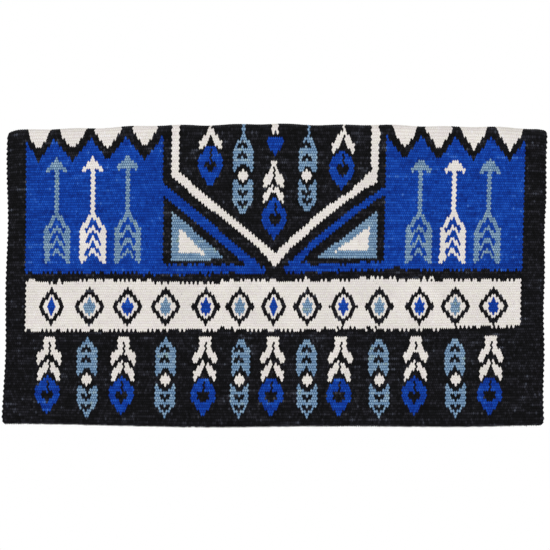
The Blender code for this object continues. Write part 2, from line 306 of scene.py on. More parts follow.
@dataclass(frozen=True)
class Cloth:
    """How the blanket lies over the rail, with its own small unevenness."""

    thickness: float = 8.0
    rail_radius: float = 6.0
    corner_radius: float = 8.0
    # How far it leans aside at the ridge and at the hem, and how much it narrows halfway
    lean_top: float = 4.5
    lean_foot: float = -4.0
    waist: float = 0.005
    # How its ends droop at the fold
    droop: Pair = (10.5, 8.0)
    droop_power: float = 1.4
    droop_reach: float = 230.0
    end_droop: float = 3.5
    end_reach: float = 18.0
    # How its hem lifts towards the corners
    bow: Pair = (5.0, 2.5)
    bow_top: Pair = (340.0, 230.0)
    bow_reach: Pair = (142.6, 100.0)
    # The ripples of the hanging cloth, and the height and the lumps of its ridge
    ripple: float = 1.1
    ripple_reach: float = 120.0
    ridge_rise: float = 4.4
    ridge_reach: float = 34.0
    ridge_lump: float = 0.8
    # How its selvedges are stretched and wander
    selvedge_width: float = 32.0
    ease: Pair = (1.5, 0.8)
    ease_more: Pair = (0.0, 1.2 / 260)
    wander: Pair = (1.2, 0.72)
    wander_from: Pair = (-8.7212, 205.0)
    wander_length: Pair = (34.2, 20.7)
    # How its hem is stretched and wanders
    hem_width: float = 18.0
    hem_ease: float = 1.9
    hem_wander: float = 1.1
    hem_crest: float = -120.0
    hem_length: float = 66.0

    RIPPLES = ((1.0, 57.0, 210.0, 1.3), (0.7, 31.0, -95.0, 0.0), (0.5, 140.0, 47.0, 0.0))
    LUMPS = ((1.0, 13.5, math.inf, 0.4), (0.8, 29.0, math.inf, 2.2), (0.6, 71.0, math.inf, 4.0))
    # How far past an edge, as a share of its width, its form goes on for the points beyond it
    PAST_END = 1.1
    PAST_CORNER = 1.2

    def lay(self, x: Array, v: Array, out: Array) -> Array:
        """Puts places of the cloth where they lie on the rail.

        Args:
            x: places along the fold.
            v: places down the cloth.
            out: distance out from the middle of its thickness.

        Returns:
            Points in metres, in the CAD frame.
        """
        x, v = self.with_round_corners(x, v)
        depth = np.abs(v)
        bend = self.rail_radius + self.thickness / 2
        angle = np.clip(v / bend, -math.pi / 2, math.pi / 2)
        straight = np.maximum(depth - bend * math.pi / 2, 0.0)
        hanging = np.clip(straight / self.ripple_reach, 0, 1)
        y = -(bend + out) * np.sin(angle) + self.ripple * add_up(self.RIPPLES, x, v) * hanging
        z = (bend + out) * np.cos(angle) - self.rail_radius - straight + self.lift(x, depth)
        share = depth / DROP
        spread = x * (1 - self.waist * np.sin(math.pi * np.clip(share, 0, 1)))
        spread += self.lean_top + (self.lean_foot - self.lean_top) * share
        spread += self.eased_selvedge(x, depth)
        return np.column_stack((spread, y, z)) * MM

    def lift(self, x: Array, depth: Array) -> Array:
        """How far the cloth lies above its plain form: at the ridge, its ends, the hem and corners.

        Args:
            x: places along the fold.
            depth: how far down the cloth they are.

        Returns:
            The rise of each.
        """
        out = np.abs(x) / HALF_WIDTH
        end = (np.abs(x) - HALF_WIDTH + self.end_reach) / self.end_reach
        droop = self.end_droop * np.clip(end, 0, self.PAST_END) ** 2
        droop += by_half(self.droop, x) * out**self.droop_power
        droop *= np.clip(1 - depth / self.droop_reach, 0, 1)
        bow = (depth - by_half(self.bow_top, x)) / by_half(self.bow_reach, x)
        bow = by_half(self.bow, x) * np.clip(bow, 0, 1) * out**2
        near_ridge = np.clip(1 - depth / self.ridge_reach, 0, 1) ** 2
        ridge = self.ridge_rise + self.ridge_lump * add_up(self.LUMPS, x, depth)
        near_hem = np.clip((depth - DROP + self.hem_width) / self.hem_width, 0, 1)
        hem = self.hem_ease + self.hem_wander * np.cos((x - self.hem_crest) / self.hem_length)
        return ridge * near_ridge - hem * near_hem + bow - droop

    def eased_selvedge(self, x: Array, depth: Array) -> Array:
        """How far the plain border is stretched sideways, unevenly, towards its selvedge.

        Args:
            x: places along the fold.
            depth: how far down the cloth they are.

        Returns:
            The sideways move of each place.
        """
        phase = (depth - by_half(self.wander_from, x)) / by_half(self.wander_length, x)
        ease = by_half(self.ease, x) + by_half(self.ease_more, x) * depth
        ease += by_half(self.wander, x) * np.sin(phase)
        edge = (np.abs(x) - HALF_WIDTH + self.selvedge_width) / self.selvedge_width
        return np.sign(x) * ease * np.clip(edge, 0, 1)

    def with_round_corners(self, x: Array, v: Array) -> tuple[Array, Array]:
        """Draws the four corners of the cloth in to a round.

        Args:
            x: places along the fold.
            v: places down the cloth.

        Returns:
            The same places, moved where they lie in a corner.
        """
        radius = self.corner_radius
        a = np.clip((np.abs(x) - HALF_WIDTH) / radius + 1, 0, self.PAST_CORNER)
        b = np.clip((np.abs(v) - DROP) / radius + 1, 0, self.PAST_CORNER)
        x = x - np.sign(x) * radius * a * (1 - np.sqrt(1 - b * b / 2))
        v = v - np.sign(v) * radius * b * (1 - np.sqrt(1 - a * a / 2))
        return x, v


class Weave:
    """The floats of the whole cloth, and the points that neighbouring floats share.

    The floats are six-sided, with a point towards each hem. Their middles are at half pitches along
    a rib, on odd half pitches on even ribs and on even ones on odd ribs.
    """

    # How much a float's point lies short of the next rib's middle, and half its crest's length
    SIDE_HALF = 0.85
    CREST_HALF = 1.25
    # How far out from the middle of the cloth a float's points, its sides and its crest lie, and
    # how high its sides count for the shade, from 0 at the points to 1 on the crest
    GAP_OUT = 3.3
    BESIDE_OUT = 3.75
    CREST_OUT = 3.95
    BESIDE_HEIGHT = 0.65
    # How far in from the cloth's edges it thins, and to what share
    EDGE_ROUND = 5.0
    THIN_EDGE = 0.25
    # The spread of a float's places, of how far down its points lie, of a rib's height along a
    # streak of so many half pitches, and of the tones, whose streaks are painted light on swelling
    # ribs
    UNEVEN = 0.1
    TIP_UNEVEN = 0.3
    RIB_UNEVEN = 0.12
    STREAK = 9
    TONE_UNEVEN = 0.13
    # How often the weft slips the other way, and its least slip
    REST_SHARE = 0.25
    SEED = 7
    # The free margin round the map of the floats
    FREE = 2
    # The map for the bake: its margin, and the strip that walls take, where they are many and few
    MARGIN = 0.01
    MANY_WALLS = 1000
    WIDE_STRIP = 0.14
    NARROW_STRIP = 0.08

    # A float's outline: the step in ribs and half pitches to the float whose point each corner is,
    # and which of its points: 1 the one towards the near hem, 0 the one towards the far hem, and 2
    # the middle of its side, where it lies against the next float on its own rib
    CORNERS = (
        (0, 0, 1), (1, 1, 0), (0, 1, 2), (-1, 1, 1),
        (0, 0, 0), (-1, -1, 1), (0, -1, 2), (1, -1, 0),
    )
    # The neighbour across the edge from each corner to the next
    NEIGHBOURS = ((1, 1), (0, 2), (0, 2), (-1, 1), (-1, -1), (0, -2), (0, -2), (1, -1))
    # The faces of a float seen from outside, by corner, with 8 and 9 for the ends of its crest, and
    # the plainer faces of its underside, with 10 for the middle
    OUTSIDE = (
        (0, 1, 8), (1, 2, 8), (2, 9, 8), (2, 3, 9), (3, 4, 9),
        (4, 5, 9), (5, 6, 9), (6, 8, 9), (6, 7, 8), (7, 0, 8),
    )
    UNDERSIDE = tuple(((k + 1) % 8, k, 10) for k in range(8))

    def __init__(self, cloth: Cloth) -> None:
        """Lays out the floats.

        Args:
            cloth: how the blanket lies.
        """
        self.cloth = cloth
        dice = np.random.default_rng(self.SEED)

        rows, halves = np.meshgrid(
            np.arange(-RIBS // 2, RIBS // 2),
            np.arange(1 - FLOATS, FLOATS),
            indexing="ij",
        )
        there = (rows + halves) % 2 == 1
        self.row, self.half = rows[there], halves[there]
        self.grid_row = self.row + RIBS // 2 + self.FREE
        self.grid_half = self.half + FLOATS + self.FREE
        self.x = self.half * HALF_FLOAT
        self.v = (self.row + 0.5) * RIB_PITCH
        self.middle = np.stack([self.x, self.v], 1)
        streak = self.streaks(dice, rows.shape)[there]
        # The streaks lift the tone too, as painted light: a rib that swells is painted paler
        tone = self.TONE_UNEVEN * streak + dice.normal(0, self.TONE_UNEVEN, len(self.row))
        self.tone = np.clip(0.5 + tone, 0, 1)

        # How far, from -1 to 1, the weft slips at each half pitch: mostly up and down by turns
        many = 2 * FLOATS + 1
        up = (np.arange(many) // 2 % 2 == 1) ^ (dice.random(many) < self.REST_SHARE)
        slips = np.where(up, 1.0, -1.0) * dice.uniform(self.REST_SHARE, 1, many)
        self.unrest = slips[self.half + FLOATS]

        corners = np.stack([self.row, self.half, 0 * self.row], 1)[:, None] + self.CORNERS
        points, corner = np.unique(corners.reshape(-1, 3), axis=0, return_inverse=True)
        self.corner = corner.reshape(-1, len(self.CORNERS))
        row, half, kind = points.T
        reach = RIB_PITCH - self.SIDE_HALF
        low_x = half * HALF_FLOAT
        low_v = (row + 0.5) * RIB_PITCH + np.choose(kind, (-reach, reach, 0.0))
        self.low = np.stack([low_x, low_v], 1)
        beside = kind == 2
        self.low_height = np.where(beside, self.BESIDE_HEIGHT, 0.0)
        low_out = np.where(beside, self.BESIDE_OUT, self.GAP_OUT)
        low_out += dice.normal(0, self.UNEVEN / 2, len(row))
        low_out *= self.thinned(low_x, low_v)
        shift = dice.normal(0, 1, (2, len(row))) * np.array([[self.UNEVEN], [self.TIP_UNEVEN]])
        x, v = low_x + shift[0], low_v + shift[1]
        self.low_points = [cloth.lay(x, v, face * low_out) for face in (1, -1)]

        swell = self.CREST_OUT + self.RIB_UNEVEN * streak
        swell += dice.normal(0, self.UNEVEN / 2, len(self.row))
        lean = dice.normal(0, self.UNEVEN, len(self.row))
        ends = [self.place(self.CREST_HALF * way, swell, lean * way) for way in (1, -1)]
        self.crest = np.stack(ends, axis=1)
        self.belly = self.place(0.0, -swell, 0.0)

    def place(self, down: float, out: Array, aside: Array | float) -> Array:
        """A point for each float: so far down the cloth from its middle, out, and aside."""
        v = self.v + down
        return self.cloth.lay(self.x + aside, v, out * self.thinned(self.x, v))

    def streaks(self, dice: np.random.Generator, shape: tuple[int, int]) -> Array:
        """Draws values that change slowly along each rib, as its tension does: they swell the rib,
        and they also lift its floats' tone as painted light.

        Args:
            dice: the source of chance.
            shape: ribs by half pitches.

        Returns:
            A value for each, of about 1 either way.
        """
        values = dice.normal(size=shape)
        window = np.ones(self.STREAK) / self.STREAK
        for _ in range(2):
            values = np.apply_along_axis(np.convolve, 1, values, window, mode="same")
        return values / values.std()

    def thinned(self, x: Array, v: Array) -> Array:
        """How much of the cloth's thickness is left near its edges, which are round.

        Args:
            x: places along the fold.
            v: places down the cloth.

        Returns:
            A share for each place.
        """
        edge = np.minimum(HALF_WIDTH - np.abs(x), DROP - np.abs(v))
        in_from = 1 - np.clip(edge / self.EDGE_ROUND, 0, 1)
        return self.THIN_EDGE + (1 - self.THIN_EDGE) * np.sqrt(1 - in_from**2)

    def lookup(self, chosen: Array) -> Array:
        """Maps some of the floats.

        Args:
            chosen: for each float, whether it is one of them.

        Returns:
            The same, by rib and half pitch, with a free margin.
        """
        grid = np.zeros((RIBS + 2 * self.FREE, 2 * (FLOATS + self.FREE) + 2), bool)
        grid[self.grid_row[chosen], self.grid_half[chosen]] = True
        return grid

    def cut(self, name: str, chosen: Array) -> Object:
        """Builds the closed mesh of some of the floats.

        Args:
            name: the piece's name.
            chosen: for each float, whether it belongs to the piece.

        Returns:
            The new piece, with its map for the bake and its two yarn attributes.
        """
        cells = np.flatnonzero(chosen)
        used, corner = np.unique(self.corner[cells], return_inverse=True)
        corner = corner.reshape(-1, len(self.CORNERS))
        n, m = len(used), len(cells)
        crest = 2 * n + np.arange(2 * m).reshape(m, 2)
        belly = 2 * n + 2 * m + np.arange(m)[:, None]
        low = [points[used] for points in self.low_points]
        points = np.concatenate([*low, self.crest[cells].reshape(-1, 3), self.belly[cells]])
        front = np.hstack([corner, crest])[:, np.array(self.OUTSIDE)].reshape(-1, 3)
        rear = np.hstack([corner + n, crest, belly])[:, np.array(self.UNDERSIDE)].reshape(-1, 3)

        mine, cloth = self.lookup(chosen), self.lookup(np.ones(len(self.row), bool))
        row, half = self.grid_row[cells], self.grid_half[cells]
        rims, inner = [], []
        for k, (r, h) in enumerate(self.NEIGHBOURS):
            open_side = ~mine[row + r, half + h]
            rims.append(np.stack([corner[open_side, k], corner[open_side, (k + 1) % 8]], 1))
            inner.append(cloth[(row + r)[open_side], (half + h)[open_side]])
        rim, inner = np.concatenate(rims), np.concatenate(inner)
        a, b = rim.T
        walls = np.concatenate([np.stack([b, a, a + n], 1), np.stack([b, a + n, b + n], 1)])

        mesh = bpy.data.meshes.new(name)
        mesh.from_pydata(points.tolist(), [], np.concatenate([front, rear, walls]).tolist())
        mesh.polygons.foreach_set("use_smooth", np.ones(len(mesh.polygons), bool))
        self.sharpen(mesh, np.concatenate([rim[inner], rim[inner] + n]))

        tone = self.tone[cells]
        tones_and_rib_light = [np.repeat(tone, len(self.OUTSIDE)), np.repeat(tone, len(self.UNDERSIDE))]
        heights = [self.low_height[used], self.low_height[used], np.ones(3 * m)]
        self.write(mesh, "yarn_tone_and_rib_light", "FACE", [*tones_and_rib_light, np.full(len(walls), 0.5)])
        self.write(mesh, "yarn_height", "POINT", heights)
        middle = self.middle[cells]
        ends = middle[:, None] + [[0.0, self.CREST_HALF], [0.0, -self.CREST_HALF]]
        flat = np.concatenate([self.low[used], self.low[used], ends.reshape(-1, 2), middle])
        self.map_for_bake(mesh, flat, len(front), len(rear), len(walls) // 2)
        piece = bpy.data.objects.new(name, mesh)
        bpy.context.scene.collection.objects.link(piece)
        return piece

    def sharpen(self, mesh: Mesh, pairs: Array) -> None:
        """Marks the edges where a colour's face meets its hidden wall as sharp.

        Args:
            mesh: the piece's mesh.
            pairs: the two ends of each such edge.
        """
        ends, many = np.empty(2 * len(mesh.edges), np.int32), len(mesh.vertices)
        mesh.edges.foreach_get("vertices", ends)
        edges, wanted = np.sort(ends.reshape(-1, 2), 1).astype(np.int64), np.sort(pairs, 1)
        sharp = np.isin(edges[:, 0] * many + edges[:, 1], wanted[:, 0] * many + wanted[:, 1])
        mesh.attributes.new("sharp_edge", "BOOLEAN", "EDGE").data.foreach_set("value", sharp)

    def write(self, mesh: Mesh, name: str, domain: str, values: list[Array]) -> None:
        """Writes a number for each point or face, which the material reads."""
        layer = mesh.attributes.new(name, "FLOAT", domain)
        layer.data.foreach_set("value", np.concatenate(values).astype(np.float32))

    def map_for_bake(self, mesh: Mesh, flat: Array, front: int, rear: int, walls: int) -> None:
        """Gives a piece a map with its front and rear laid flat and its walls in a strip apart.

        Args:
            mesh: the piece's mesh.
            flat: where each of its points lies along the fold and down the cloth.
            front: how many triangles face out.
            rear: how many face the rail.
            walls: how many quads stand where it meets other pieces or ends.
        """
        corners = np.empty(len(mesh.loops), np.int32)
        mesh.loops.foreach_get("vertex_index", corners)
        size = np.ptp(flat, axis=0)
        u, w = ((flat - flat.min(axis=0)) / size)[corners].T
        behind = np.arange(len(corners)) >= 3 * front
        margin = self.MARGIN
        strip = self.WIDE_STRIP if walls > self.MANY_WALLS else self.NARROW_STRIP
        if size[0] >= size[1]:
            half = (1 - strip) / 2
            u = margin + (1 - 2 * margin) * u
            w = strip + margin + (half - 2 * margin) * w + half * behind
        else:
            u = margin + (0.5 - 3 * margin) * u + (0.5 + margin) * behind
            w = strip + margin + (1 - 2 * margin - strip) * w
        places = np.stack([u, w], 1)

        columns = math.ceil(math.sqrt(walls / strip))
        step = 1 / columns
        at = np.arange(walls)
        corner = np.stack([(at % columns) * step, (at // columns) * step], 1)
        low, high = 0.1 * step, 0.9 * step
        first = np.array([[high, low], [low, low], [low, high - low]])
        second = np.array([[high, 2 * low], [2 * low, high], [high, high]])
        start = 3 * (front + rear)
        quads = [(corner[:, None] + triangle).reshape(-1, 2) for triangle in (first, second)]
        places[start:] = np.concatenate(quads)
        layer = mesh.uv_layers.new(name="OFBake")
        layer.data.foreach_set("uv", places.astype(np.float32).ravel())


def both_halves(half: Outline) -> Outline:
    """Closes an outline from its right half, given from top to bottom."""
    return half + tuple((-x, depth) for x, depth in reversed(half))


def inside(outline: Outline, x: Array, depth: Array) -> Array:
    """Finds which places lie inside a closed outline.

    Args:
        outline: its corners.
        x: places along the fold.
        depth: how far down the cloth they are.

    Returns:
        Whether each lies inside.
    """
    hit = np.zeros(x.shape, bool)
    for (ax, ad), (bx, bd) in zip(outline, outline[1:] + outline[:1]):
        if ad != bd:
            crosses = (ad > depth) != (bd > depth)
            hit ^= crosses & (x < ax + (depth - ad) * (bx - ax) / (bd - ad))
    return hit


@dataclass(frozen=True)
class Motif:
    """An area of the cloth: the outlines that it fills, less those that it leaves out."""

    fills: tuple[Outline, ...]
    gaps: tuple[Outline, ...] = ()
    ragged: float = 0.0
    ragged_from: float = 0.0

    def covers(self, x: Array, depth: Array, unrest: Array) -> Array:
        """Finds which places lie in the motif.

        Args:
            x: places along the fold.
            depth: how far down the cloth they are.
            unrest: how far, from -1 to 1, the weft at each has slipped towards the ridge.

        Returns:
            Whether each lies in it.
        """
        depth = depth + self.ragged * unrest * (depth > self.ragged_from)
        hit = np.zeros(x.shape, bool)
        for outline in self.fills:
            hit |= inside(outline, x, depth)
        for outline in self.gaps:
            hit &= ~inside(outline, x, depth)
        return hit

    def at(self, x: float, depth: float = 0.0) -> "Motif":
        """Moves the motif, so that its middle comes on a float or between two.

        Args:
            x: how far along the fold.
            depth: how far down the cloth.

        Returns:
            The moved motif.
        """
        x = round(x / HALF_FLOAT) * HALF_FLOAT
        fills, gaps = (
            tuple(tuple((px + x, pd + depth) for px, pd in outline) for outline in outlines)
            for outlines in (self.fills, self.gaps)
        )
        return replace(self, fills=fills, gaps=gaps)


def together(motifs: list[Motif]) -> Motif:
    """Several motifs that don't overlap, as one."""
    return Motif(sum((m.fills for m in motifs), ()), sum((m.gaps for m in motifs), ()))


def mirrored(half: Outline, *gaps: Outline) -> Motif:
    """A motif from its right half, given from top to bottom, less what it leaves out."""
    return Motif((both_halves(half),), gaps)


def box(left: float, right: float, top: float, foot: float) -> Outline:
    """An upright rectangle."""
    return (left, top), (right, top), (right, foot), (left, foot)


def line(top: float, foot: float) -> Outline:
    """One float wide, from one depth to another: it steps from side to side, rib by rib."""
    return box(0.1 - HALF_FLOAT, 0.1 + HALF_FLOAT, top, foot)


def beside(x: float, rib: int, on_float: bool = True) -> Place:
    """Finds the nearest place on a rib that is the middle of a float, or of the join between two.

    Args:
        x: where along the fold.
        rib: which rib, counted from the ridge.
        on_float: whether it is a float's middle that is asked for.

    Returns:
        The place and its depth.
    """
    odd = (rib + on_float) % 2
    half = 2 * round((x / HALF_FLOAT - odd) / 2) + odd
    return half * HALF_FLOAT, (rib + 0.5) * RIB_PITCH


@dataclass(frozen=True)
class Eye:
    """A feather's blue eye: a tall lozenge round a black heart, split by a line from its top."""

    top: float
    shoulder: float
    hip: float
    foot: float
    heart_top: float
    heart_foot: float
    half_width: float = 18.8
    heart_half: float = 10.0

    def blue(self) -> Motif:
        """The lozenge.

        Returns:
            Its motif, round the quill's place.
        """
        wide, waist = self.half_width, self.hip + 0.42 * (self.foot - self.hip)
        half = (
            (0, self.top), (5.5, self.top + 2.5), (wide, self.shoulder),
            (wide, self.hip), (0.6 * wide, waist), (0, self.foot),
        )
        return mirrored(half)

    def marks(self) -> Motif:
        """The black marks.

        Returns:
            The heart and the split above it.
        """
        wide, top = self.heart_half, self.heart_top
        half = (
            (0, top + 4.5), (0.5 * wide, top), (wide, top + 2.5),
            (wide, top + 10), (0, self.heart_foot),
        )
        return Motif((both_halves(half), line(self.top + 7, top + 1)))


@dataclass(frozen=True)
class Arms:
    """A pair of feather arms that spread down from a quill, with the black line between them."""

    top: float
    shoulder: float
    tip: float
    inner: float
    split: float
    neck_half: float
    neck_foot: float
    flare: float = 0.0
    half_width: float = 18.5
    tip_inner: float = 14.6

    def cream(self) -> Motif:
        """The arms.

        Returns:
            Their motif, round the quill's place.
        """
        wide, neck = self.half_width, self.neck_half
        half = (
            (0, self.top), (neck, self.top), (neck + self.flare, self.neck_foot),
            (wide, self.shoulder), (wide, self.tip - 5), (wide - 1.5, self.tip),
            (self.tip_inner, self.tip), (0, self.inner),
        )
        return mirrored(half, line(self.split, self.inner + 1))


@dataclass(frozen=True)
class Leaf:
    """A light blue feather in two halves, with black chevrons in each and a cream diamond between.

    The diamond and the chevrons are small, so they are counted out from the floats at their points.
    """

    top: float
    shoulder: float
    tips: float
    notch: float
    diamond_rib: int
    lower_tips: float
    lower_notch: float
    lower_shoulder: float
    foot: float
    peak_ribs: tuple[int, int]
    valley_ribs: tuple[int, int]
    half_width: float = 16.0
    peaks_aside: float = -1.7
    lower_aside: float = 0.0

    # Right halves from the rib of the point, which for the diamond is two ribs above its middle
    CHEVRON = ((0, -3), (8.2, 6.8), (8.2, 10.5), (4.3, 10.5), (0, 5.9))
    DIAMOND = ((0, -1.1), (5.5, 4.1), (8.5, 8.4), (5.5, 12.7), (0, 17.9))

    def blue(self, x: float) -> Motif:
        """The feather itself.

        Args:
            x: the place of its column along the fold.

        Returns:
            Its upper and its lower half.
        """
        wide = self.half_width
        upper = (
            (0, self.top), (wide - 1, self.shoulder), (wide, self.shoulder + 5),
            (wide, self.tips - 4), (wide - 2.5, self.tips), (0, self.notch),
        )
        lower = (
            (0, self.lower_notch), (wide - 1.5, self.lower_tips), (wide, self.lower_tips + 4),
            (wide, self.lower_shoulder), (0, self.foot),
        )
        return together([mirrored(upper).at(x), mirrored(lower).at(x + self.lower_aside)])

    def cream(self, x: float) -> Motif:
        """The diamond."""
        return mirrored(self.DIAMOND).at(*beside(x, self.diamond_rib - 2))

    def marks(self, x: float) -> list[Motif]:
        """The black chevrons.

        Args:
            x: the place of its column along the fold.

        Returns:
            Those that point up in the upper half, and those that point down in the lower one.
        """
        peak, valley = mirrored(self.CHEVRON), mirrored(tuple((a, -b) for a, b in self.CHEVRON))
        peaks = [peak.at(*beside(x + self.peaks_aside, rib)) for rib in self.peak_ribs]
        return peaks + [valley.at(*beside(x + self.lower_aside, rib)) for rib in self.valley_ribs]


@dataclass(frozen=True)
class Patch:
    """A run of weft in one colour: its name, yarn and place, and the CAD nodes that it replaces."""

    name: str
    yarn: Yarn
    motif: Motif
    nodes: tuple[str, ...]


@dataclass(frozen=True)
class Arrow:
    """An arrow with a barbed head, a thin shaft and a long fletching with three chevron gaps."""

    x: float
    lean: float
    tip: float = 48.2
    head_half: float = 16.5
    shaft_half: float = 3.4
    fletch_top: float = 139.0
    fletch_wide: float = 166.5
    fletch_half: float = 21.0
    notch: float = 203.5
    tail: float = 223.6
    barb: float = 24.8

    # The gaps between its chevrons: where each begins on the middle line and how high it is there
    GAPS = ((146.5, 12.5), (166, 11.5), (185.5, 9.5))
    GAP_HALF = 13.0
    GAP_SLOPE = 1.5

    def motif(self) -> Motif:
        """The whole arrow.

        Returns:
            Its outline, less the gaps in its fletching, where it stands.
        """
        head, shaft, wide = self.head_half, self.shaft_half, self.fletch_half
        barb = self.tip + self.barb
        half = (
            (0, self.tip), (3, self.tip + 4.2), (head, self.tip + 17.8), (head, barb),
            (head - 4, barb), (head - 6.5, barb - 4), (shaft, barb - 4), (shaft, self.fletch_top),
            (wide, self.fletch_wide), (wide, self.tail), (wide - 3, self.tail), (0, self.notch),
        )
        out, down = self.GAP_HALF, self.GAP_SLOPE * self.GAP_HALF
        gaps = (
            ((0, top), (out, top + down), (out - 1.5, top + down + 8), (0, top + high))
            for top, high in self.GAPS
        )
        return Motif((self.leaning(half),), tuple(map(self.leaning, gaps))).at(self.x)

    def leaning(self, half: Outline) -> Outline:
        """Closes an outline from its right half and leans it over, as the whole arrow is."""
        slope = self.lean / (self.tail - self.tip)
        return tuple((x + slope * (depth - self.tip), depth) for x, depth in both_halves(half))


@dataclass(frozen=True)
class RoyalField:
    """One royal blue field, from a side border to the chevron, with all that is woven into it."""

    half: str
    outer: float
    inner: float
    teeth: tuple[Place, ...]
    tooth_foot: float
    peaks: tuple[float, ...]
    foot: float
    diagonal: Outline
    frame: Outline
    triangle: Outline
    core: Outline
    arrows: tuple[Arrow, ...]

    PEAK = 16.5
    VALLEY = 53.5
    CORNER = 19.0
    TOOTH_SHOULDER = 9.0
    RAGGED = 2.6
    RAGGED_FROM = 216.0

    def zigzag(self) -> Outline:
        """The toothed top edge.

        Returns:
            Its places, from the outer corner to the inner one.
        """
        edge = [(self.outer, self.CORNER)]
        for (x, _), peak in zip(self.teeth, (*self.peaks, None)):
            edge.append((x, self.VALLEY))
            if peak is not None:
                edge.append((peak, self.PEAK))
        return (*edge, (self.inner, self.PEAK))

    def tooth(self, x: float, half_width: float) -> Motif:
        """A cream tooth that starts beyond the ridge and points down."""
        half = ((half_width, -1), (half_width, self.TOOTH_SHOULDER), (0, self.tooth_foot))
        return mirrored(half).at(x)

    def patches(self) -> list[Patch]:
        """Works out what is woven here.

        Returns:
            The runs of weft, in the order in which each covers what went before.
        """
        field = (*self.zigzag(), *self.diagonal, (self.outer, self.foot))
        teeth = together([self.tooth(x, wide) for x, wide in self.teeth])
        ragged = {"ragged": self.RAGGED, "ragged_from": self.RAGGED_FROM}
        runs = [
            ("teeth", Yarn.CREAM, teeth, ()),
            ("royal_field", Yarn.ROYAL, Motif((field,), **ragged), ("royal_field",)),
            ("triangle_frame", Yarn.BLACK, Motif((self.frame,), **ragged), ("triangle",)),
            ("triangle", Yarn.LIGHT_BLUE, Motif((self.triangle,)), ("triangle",)),
            ("triangle_core", Yarn.CREAM, Motif((self.core,)), ("triangle",)),
        ]
        yarns = (Yarn.LIGHT_BLUE, Yarn.CREAM, Yarn.LIGHT_BLUE)
        for i, (arrow, yarn) in enumerate(zip(self.arrows, yarns)):
            runs.append((f"arrow_{i + 1}", yarn, arrow.motif(), (f"arrow_{i + 1}",)))
        return [
            Patch(f"{self.half}_{name}", yarn, motif, tuple(f"{self.half}_{n}" for n in nodes))
            for name, yarn, motif, nodes in runs
        ]


@dataclass(frozen=True)
class CentreField:
    """The cream chevron and the black field inside it with its five feathers."""

    outer: Outline = (
        (-169.8, -1), (-168.6, 80.3), (-140.8, 106), (-111.4, 130.6), (-59.3, 170.8),
        (-23.5, 202), (-0.7, 228.1), (20.7, 201.5), (56.3, 169.6), (102.9, 129.4),
        (136.9, 105.2), (160.7, 91.3), (163.4, 24.6), (162.9, -1),
    )
    inner: Outline = (
        (-156.9, -1), (-157, 74), (-124.8, 103.2), (-92.2, 129.6), (-43.3, 170.8),
        (-7.4, 201.5), (-0.7, 206.5), (3.9, 201.5), (37, 169.8), (82, 130.6),
        (117.7, 106.6), (151.6, 73), (149.6, -1),
    )

    def patches(self) -> list[Patch]:
        """Works out what is woven here.

        Returns:
            The runs of weft, in the order in which each covers what went before.
        """
        left_arms = Arms(8.3, 27, 39.5, 20.5, 16, 4.5, 10, half_width=18)
        right_arms = Arms(10.5, 32, 46, 24.5, 17.5, 4, 12)
        slim = {"flare": 4.1, "half_width": 16.5, "tip_inner": 12.3}
        middle_arms = Arms(57, 88, 100.5, 87, 69, 2.9, 75, **slim)
        slim = {"flare": 1, "half_width": 16.6, "tip_inner": 14}
        lower_arms = Arms(95.5, 113, 127, 105.5, 95, 3.4, 99, **slim)
        left_eye = Eye(31, 51, 73, 99.5, 56.5, 76.5, heart_half=9)
        right_eye = Eye(40, 58.5, 80.5, 103, 63, 82.5)
        middle_eye = Eye(118.5, 139.5, 158.5, 185, 141.5, 165.5)
        ribs = {"peak_ribs": (6, 10), "valley_ribs": (27, 31)}
        left_leaf = Leaf(15.5, 35, 74.8, 59, 19, 84.3, 101.5, 124, 146.5, **ribs)
        ribs = {"peak_ribs": (6, 11), "valley_ribs": (27, 30), "half_width": 14.2}
        right_leaf = Leaf(14, 36, 79, 63.5, 19, 88.5, 103.5, 125, 142.5, **ribs)
        wedge = ((0, 20.5), (12.5, 20.5), (13, 28), (9.5, 35), (4.5, 45), (0, 52))
        stub = (box(-5.1, 5.1, -1, 12), box(2.5, 5.5, 12, 16), box(-5.5, -2.5, 12, 16))
        cream = [
            Motif((line(-1, 9),)).at(-109.2),
            Motif((line(-1, 11),)).at(106.2),
            Motif(stub).at(-3.4),
            left_arms.cream().at(-107.4),
            right_arms.cream().at(105.9),
            middle_arms.cream().at(-4.7),
            lower_arms.cream().at(-4.3),
            left_leaf.cream(-54),
            right_leaf.cream(47.8),
        ]
        royal = [
            left_eye.blue().at(-107.4),
            right_eye.blue().at(103.3),
            middle_eye.blue().at(-2.6),
            mirrored(wedge).at(-3.2),
        ]
        light_blue = [
            Motif((box(-1.8, 1.8, -1, 17),)).at(-54.8),
            Motif((line(-1, 17),)).at(49.3),
            left_leaf.blue(-54.3),
            right_leaf.blue(49),
        ]
        marks = [
            left_eye.marks().at(-107),
            right_eye.marks().at(104.6),
            middle_eye.marks().at(-2.5),
            *left_leaf.marks(-53.5),
            *right_leaf.marks(48.6),
        ]
        field = ("centre_field",)
        return [
            Patch("chevron", Yarn.CREAM, Motif((self.outer,)), ("chevron",)),
            Patch("centre_field", Yarn.BLACK, Motif((self.inner,)), field),
            Patch("centre_feathers_light_blue", Yarn.LIGHT_BLUE, together(light_blue), field),
            Patch("centre_feathers_royal", Yarn.ROYAL, together(royal), field),
            Patch("centre_feathers_cream", Yarn.CREAM, together(cream), field),
            Patch("centre_feather_marks", Yarn.BLACK, together(marks), field),
        ]


